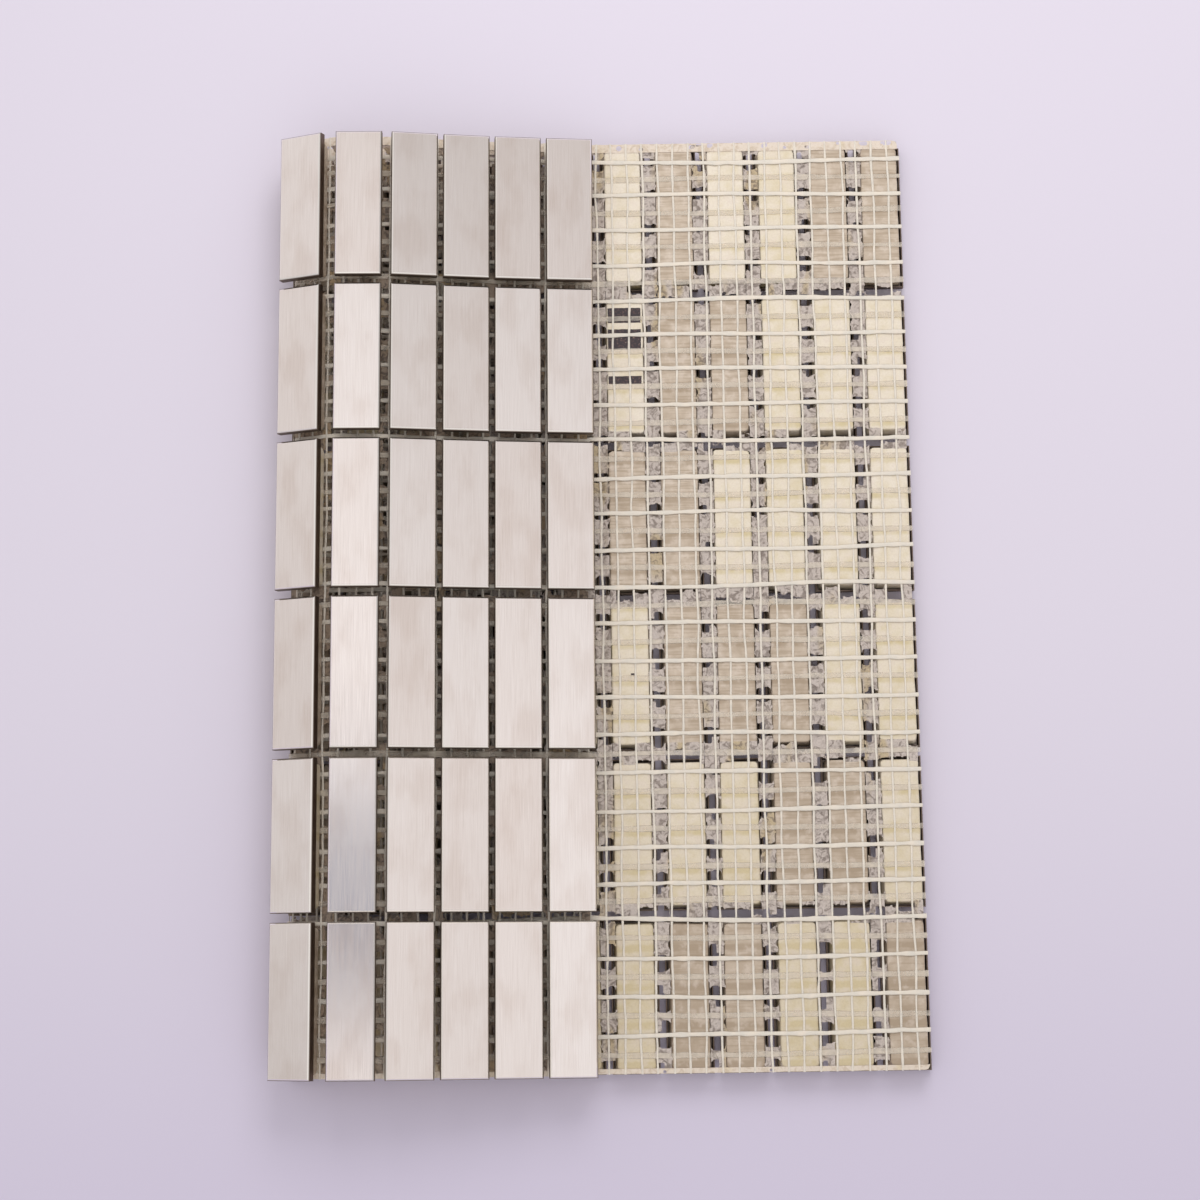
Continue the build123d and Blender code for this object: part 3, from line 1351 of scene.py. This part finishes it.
    def build(self) -> None:
        """Make the film between the blocks, then the pale strips along the sheet's two ends."""
        film = DriedGlue(grey=srgb(212, 199, 190), dark=srgb(104, 90, 82)).material("dried_glue")
        # A darker copy of the glue for the flap's webs, seen from the steel side: painted shade.
        flap_shade_glue = DriedGlue(
            grey=srgb(168, 148, 130), dark=srgb(70, 58, 50), golden=srgb(176, 150, 112)
        ).material("flap_glue_painted_shade")
        flap = self.sizes.flap_columns
        columns = self.sizes.columns
        shown = range(self.sizes.first_shown, columns)
        for name, gaps, rows, finish in (
            ("glue_film_shown", range(shown[0] - 1, shown[-1]), shown, film),
            ("glue_film_flap", range(0, flap - 1), range(0, flap), flap_shade_glue),
            ("glue_film_hidden", range(flap, shown[0] - 1), range(flap, shown[0]), film),
        ):
            bm = bmesh.new()
            self.column_gaps(bm, gaps)
            self.row_gaps(bm, rows)
            self.finish(name, bm, finish, sags=gaps[0] > 0)
        pale = DriedGlue(
            grey=srgb(224, 210, 195), dark=srgb(196, 178, 158), golden=srgb(216, 198, 164), cover=(0.93, 1.0)
        ).material("pale_glue")
        bm = bmesh.new()
        for strip in (range(0, flap), range(flap, columns)):
            self.end_strip(bm, strip, End.TOP, self.sizes.mesh_end_overhang, 0.8)
            self.end_strip(bm, strip, End.BOTTOM, self.sizes.mesh_end_overhang - self.backing.bottom_trim, 0.7)
        self.finish("glue_strips", bm, pale)


@dataclass
class Marks:
    """Plain ink bars and a dark speck on the shown backs."""

    sizes: SheetSizes
    fold: SheetFold
    rise: float = 0.03
    bar_row: int = 1
    bars: tuple[tuple[float, float], ...] = ((14.6, 19.6), (5.6, 12.4), (-6.0, -3.4))
    speck_row: int = 3
    speck: tuple[float, float, float, float] = (0.2, 1.6, -0.2, 0.5)

    def patch(self, bm: bmesh.types.BMesh, column: int, row: int, box: tuple[float, float, float, float]) -> None:
        """Add a flat patch on a block's back.

        Args:
            bm: The mesh to add to.
            column: The block's column, from 0.
            row: The block's row, from 0 at the top.
            box: The patch's low and high place across, then along, in mm from the block's middle.
        """
        left, right, low, high = box
        grid = bmesh.ops.create_grid(bm, x_segments=12, y_segments=8, size=0.5)
        bmesh.ops.scale(bm, verts=grid["verts"], vec=(right - left, high - low, 1.0))
        bmesh.ops.translate(bm, verts=grid["verts"], vec=((left + right) / 2, (low + high) / 2, 0.0))
        run, middle = self.fold.column_run(column), self.sizes.row_centre(row)
        for vert in grid["verts"]:
            x, y, _ = vert.co
            ragged = 0.12 * wander(x * 1.1, y * 1.1, 6.0)
            vert.co = self.fold.place(run + x + ragged, middle + y + ragged, self.rise)

    def build(self) -> None:
        """Make the bars and the speck."""
        bm = bmesh.new()
        column = self.sizes.first_shown
        half = self.sizes.core_back[0] / 2 - 0.6
        for low, high in self.bars:
            self.patch(bm, column, self.bar_row, (-half, half - 0.3, low, high))
        self.patch(bm, column, self.speck_row, self.speck)
        Workshop.piece("ink_marks", bm, Ink().material("dark_ink"), "ceramic")


@dataclass(frozen=True)
class Sky:
    """Pale light from above, whose strength changes with its direction, with one small dim patch overhead.

    Directions are given as how far across the chips (X) and along them (Y) they lean for each unit of height.
    Each strength is added to the level on its own side.
    """

    level: float = 1.06
    far: float = -0.25
    near: float = -0.04
    inner: float = 0.08
    off_middle: float = -0.13
    right: float = -0.45
    left: tuple[float, float] = (-0.14, -0.3)
    horizon: float = -0.12
    colour: Colour = (1.0, 0.985, 0.98)
    patch_colour: Colour = (0.3, 0.32, 0.39)
    patch_middle: tuple[float, float] = (-0.11, 0.028)
    patch_half: tuple[float, float] = (0.2, 0.066)

    def strength(
        self, graph: Graph, way: bpy.types.NodeSocket, across: bpy.types.NodeSocket, along: bpy.types.NodeSocket
    ) -> bpy.types.NodeSocket:
        """The light's strength by direction.

        Args:
            graph: The node tree.
            way: The direction, as a unit vector.
            across: Its lean across the chips.
            along: Its lean along the chips.

        Returns:
            The strength, about 1 in the middle.
        """
        x, y, z = (graph.axis(way, axis) for axis in "XYZ")
        lean = graph.math("ABSOLUTE", across)
        off_spot = graph.math("ABSOLUTE", graph.math("SUBTRACT", across, self.patch_middle[0]))
        overhead = graph.smooth_span(z, 0.3, 0.6)
        far_right = graph.math("MAXIMUM", overhead, graph.smooth_span(x, 0.72, 0.9))
        products = [
            (graph.span(along, 0.1, 0.42, (0.0, self.far)), graph.smooth_span(lean, 1.2, 0.4)),
            (graph.smooth_span(across, 0.45, 1.6, (0.0, self.right)), far_right),
            (graph.span(y, 0.35, -0.05, self.left), graph.smooth_span(across, -0.4, -1.3)),
            (graph.smooth_span(z, 0.5, 0.3, (0.0, self.horizon)), graph.smooth_span(x, 0.75, 0.3)),
        ]
        return graph.total(
            self.level,
            graph.span(along, 0.1, -0.03, (0.0, self.near)),
            graph.smooth_span(off_spot, 0.18, 0.02, (0.0, self.inner)),
            graph.smooth_span(across, 0.1, 0.3, (0.0, self.off_middle)),
            *(graph.math("MULTIPLY", change, share) for change, share in products),
        )

    def build(self, backdrop: Colour) -> None:
        """Light the scene with the sky, which the camera sees as a plain backdrop.

        Args:
            backdrop: The backdrop's colour.
        """
        world = bpy.data.worlds.new("sky")
        bpy.context.scene.world = world
        world.use_nodes = True
        graph = Graph(world.node_tree)
        way = graph.add("ShaderNodeTexCoord").outputs["Generated"]
        height = graph.math("MAXIMUM", graph.axis(way, "Z"), 0.05)
        leans = [graph.math("DIVIDE", graph.axis(way, axis), height) for axis in "XY"]
        squares = []
        for lean, middle, half in zip(leans, self.patch_middle, self.patch_half):
            share = graph.math("DIVIDE", graph.math("SUBTRACT", lean, middle), half)
            squares.append(graph.math("MULTIPLY", share, share))
        patch = graph.smooth_span(graph.math("SQRT", graph.total(*squares)), 1.1, 0.2)
        light = world.node_tree.nodes["Background"]
        seen = graph.add("ShaderNodeLightPath").outputs["Is Camera Ray"]
        graph.feed(light.inputs["Color"], graph.mix(seen, graph.mix(patch, self.colour, self.patch_colour), backdrop))
        strength = self.strength(graph, way, *leans)
        graph.feed(light.inputs["Strength"], graph.span(seen, 0.0, 1.0, (strength, 1.0)))


@dataclass
class Studio:
    """Pale floor, soft light and the camera above the sheet."""

    floor_far: Colour = (0.695, 0.645, 0.742)
    # The near end's darker colour is painted shade.
    floor_near_shaded: Colour = (0.615, 0.558, 0.7)
    backdrop: Colour = (0.78, 0.73, 0.83)
    lamp_power: float = 2.0
    lamp_size: float = 0.4
    lamp_place: tuple[float, float, float] = (0.08, 0.5, 0.6)
    camera_distance: float = 0.74786
    camera_tilt: float = 9.03
    camera_roll: float = -0.837
    camera_aim: tuple[float, float] = (0.00118, 0.00018)
    focal_pixels: float = 2300.0
    image_pixels: float = 1200.0
    sensor: float = 36.0
    floor_size: float = 4.0

    def floor(self) -> None:
        """A wide pale floor that the lower trays lie on, darker towards the near end as painted shade."""
        bm = bmesh.new()
        bmesh.ops.create_grid(bm, x_segments=1, y_segments=1, size=self.floor_size)
        mesh = bpy.data.meshes.new("floor")
        bm.to_mesh(mesh)
        bm.free()
        graph = SurfaceGraph("pale_floor")
        along = graph.axis(graph.places(), "Y")
        # Darker towards the near end: painted shade.
        colour = graph.mix(graph.smooth_span(along, -270.0, 10.0), self.floor_near_shaded, self.floor_far)
        graph.paint(Base_Color=colour, Roughness=0.7, Specular_IOR_Level=0.2)
        mesh.materials.append(graph.material)
        floor = bpy.data.objects.new("floor", mesh)
        bpy.context.scene.collection.objects.link(floor)

    def lamp(self) -> None:
        """One large soft lamp from the far right."""
        lamp = bpy.data.lights.new("soft_lamp", "AREA")
        lamp.shape = "SQUARE"
        lamp.size = self.lamp_size
        lamp.energy = self.lamp_power
        holder = bpy.data.objects.new("soft_lamp", lamp)
        holder.location = self.lamp_place
        holder.rotation_euler = (-Vector(self.lamp_place)).to_track_quat("-Z", "Y").to_euler()
        holder.visible_glossy = False
        bpy.context.scene.collection.objects.link(holder)

    def camera(self) -> None:
        """A camera almost straight above, a little towards the sheet's lower end."""
        lens = bpy.data.cameras.new("camera")
        lens.sensor_width = self.sensor
        lens.lens = self.focal_pixels / self.image_pixels * self.sensor
        turn = Matrix.Rotation(math.radians(self.camera_tilt), 4, "X")
        turn = turn @ Matrix.Rotation(math.radians(self.camera_roll), 4, "Z")
        holder = bpy.data.objects.new("camera", lens)
        holder.matrix_world = turn @ Matrix.Translation((*self.camera_aim, self.camera_distance))
        bpy.context.scene.collection.objects.link(holder)
        bpy.context.scene.camera = holder

    def build(self) -> None:
        """Set the whole studio up."""
        self.floor()
        Sky().build(self.backdrop)
        self.lamp()
        self.camera()
        bpy.context.scene.view_settings.view_transform = "Standard"
        log.info("studio ready")


def main() -> None:
    """Build and dress the sheet, piece by piece."""
    logging.basicConfig(level=logging.INFO, format="%(name)s %(message)s")
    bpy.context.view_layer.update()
    sizes = SheetSizes()
    fold = SheetFold(sizes)
    backing = BackingMesh(sizes, fold)
    SteelTrays(sizes, fold).dress()
    CeramicBlocks(sizes, fold).build()
    backing.build()
    GlueFilm(sizes, fold, backing).build()
    Marks(sizes, fold).build()
    Studio().build()


if __name__ == "__main__":
    main()
